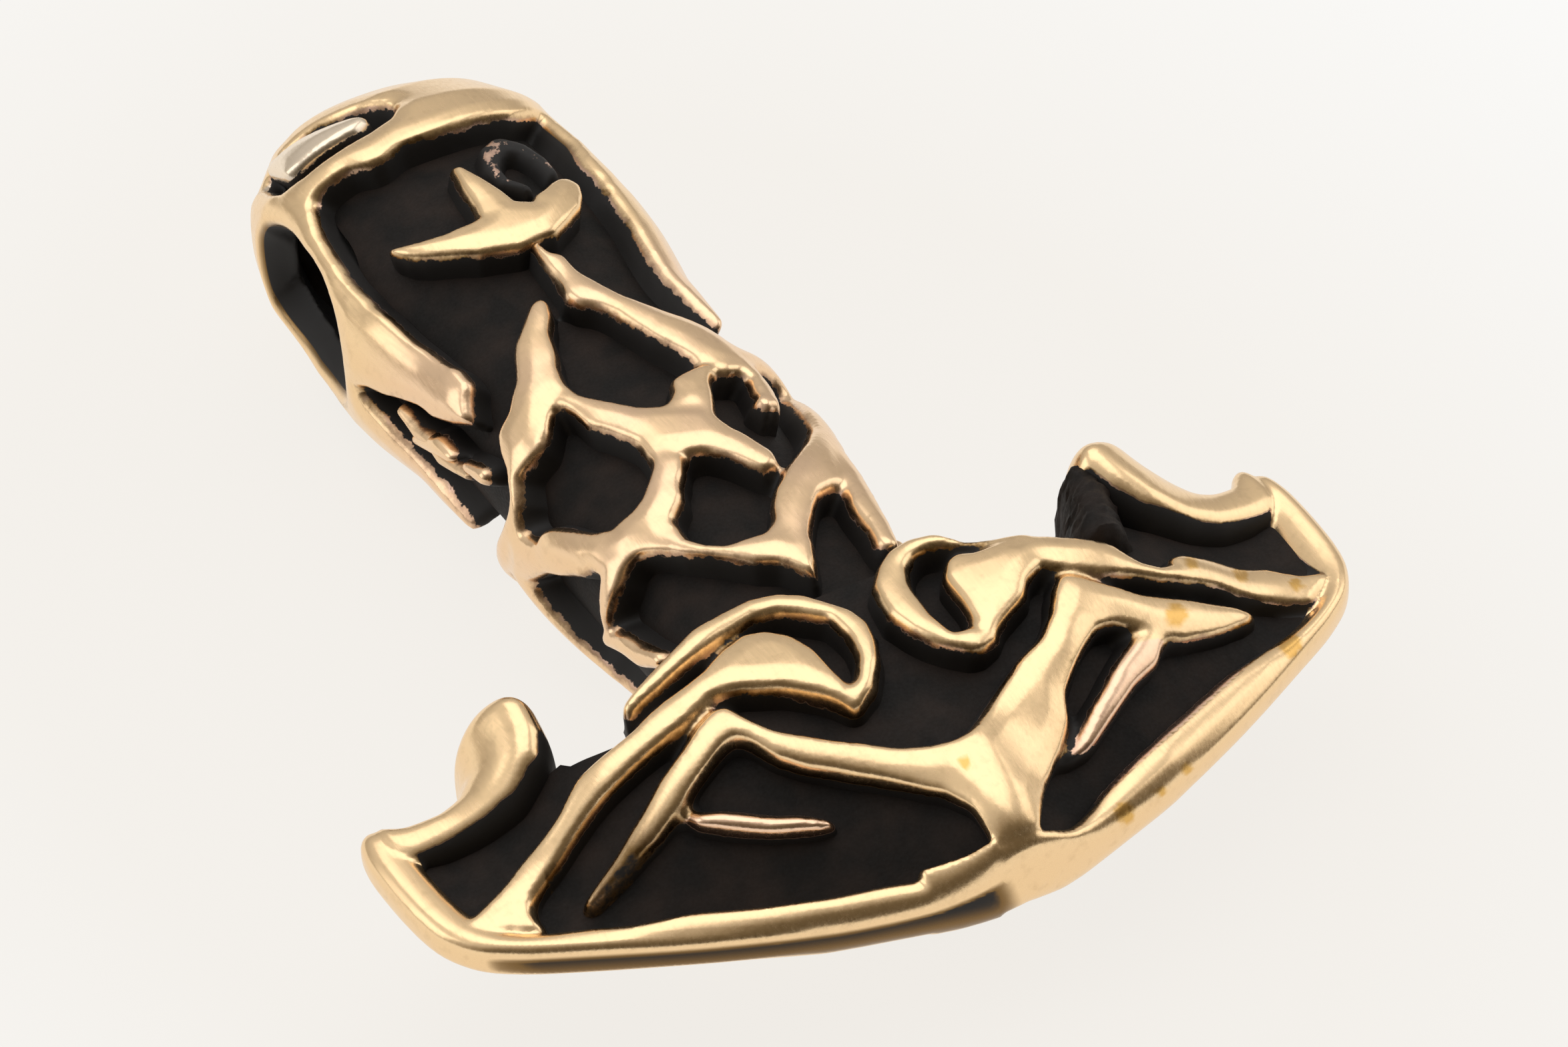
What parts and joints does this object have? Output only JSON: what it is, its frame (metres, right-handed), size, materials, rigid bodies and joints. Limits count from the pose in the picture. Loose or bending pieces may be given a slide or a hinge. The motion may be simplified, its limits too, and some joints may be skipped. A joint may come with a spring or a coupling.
{
  "type": "hammer pendant",
  "caption": "Cast bronze Thor's hammer pendant: arched head with lobed arms, knotwork handle, and a domed cap pierced sideways for a cord.",
  "frame": {"origin": "on the surface that the pendant lies on, under the middle of its bounding box", "axes": "+X across the head towards the arm on the right as the front is seen with the cap up; +Y from the head's tip up the handle to the cap; +Z out of the front face"},
  "size_m": [0.0354, 0.0484, 0.0102],
  "materials": {
    "polished_bronze": "cast, tumbled and polished",
    "worn_bronze": "thinly polished, coppery where the black has just worn off",
    "blackened_bronze": "matte black patina on the casting skin"
  },
  "bodies": {
    "root": {"head_ground": "blackened_bronze", "handle_ground": "blackened_bronze", "cap_ground": "blackened_bronze", "lug_right": "polished_bronze", "lug_left": "polished_bronze", "arm_rail_right": "polished_bronze", "arm_rail_left": "polished_bronze", "keel_front": "polished_bronze", "keel_back": "polished_bronze", "rim_right": "polished_bronze", "rim_left": "polished_bronze", "fork_front_right": "polished_bronze", "leaf_front_right": "polished_bronze", "scroll_front_right": "polished_bronze", "vein_front_right": "worn_bronze", "fork_front_left": "polished_bronze", "leaf_front_left": "polished_bronze", "scroll_front_left": "polished_bronze", "vein_front_left": "worn_bronze", "fork_back_right": "polished_bronze", "leaf_back_right": "polished_bronze", "scroll_back_right": "polished_bronze", "vein_back_right": "worn_bronze", "fork_back_left": "polished_bronze", "leaf_back_left": "polished_bronze", "scroll_back_left": "polished_bronze", "vein_back_left": "worn_bronze", "spine_front": "polished_bronze", "post_front": "polished_bronze", "brace_front": "polished_bronze", "bridge_front": "polished_bronze", "knee_front": "polished_bronze", "knuckle_front": "polished_bronze", "loop_front": "polished_bronze", "collar_front": "polished_bronze", "root_front": "polished_bronze", "shoulder_front": "polished_bronze", "spine_back": "polished_bronze", "post_back": "polished_bronze", "brace_back": "polished_bronze", "bridge_back": "polished_bronze", "knee_back": "polished_bronze", "knuckle_back": "polished_bronze", "loop_back": "polished_bronze", "collar_back": "polished_bronze", "root_back": "polished_bronze", "shoulder_back": "polished_bronze", "crown": "polished_bronze", "cord_hole_rim_right": "polished_bronze", "cord_hole_rim_left": "polished_bronze", "cheek_front_right": "polished_bronze", "cheek_front_left": "polished_bronze", "cheek_back_right": "polished_bronze", "cheek_back_left": "polished_bronze", "trident_front": "polished_bronze", "trident_back": "polished_bronze", "eye_arc": "worn_bronze", "flame_right": "worn_bronze", "flame_left": "worn_bronze"}
  },
  "joints": []
}
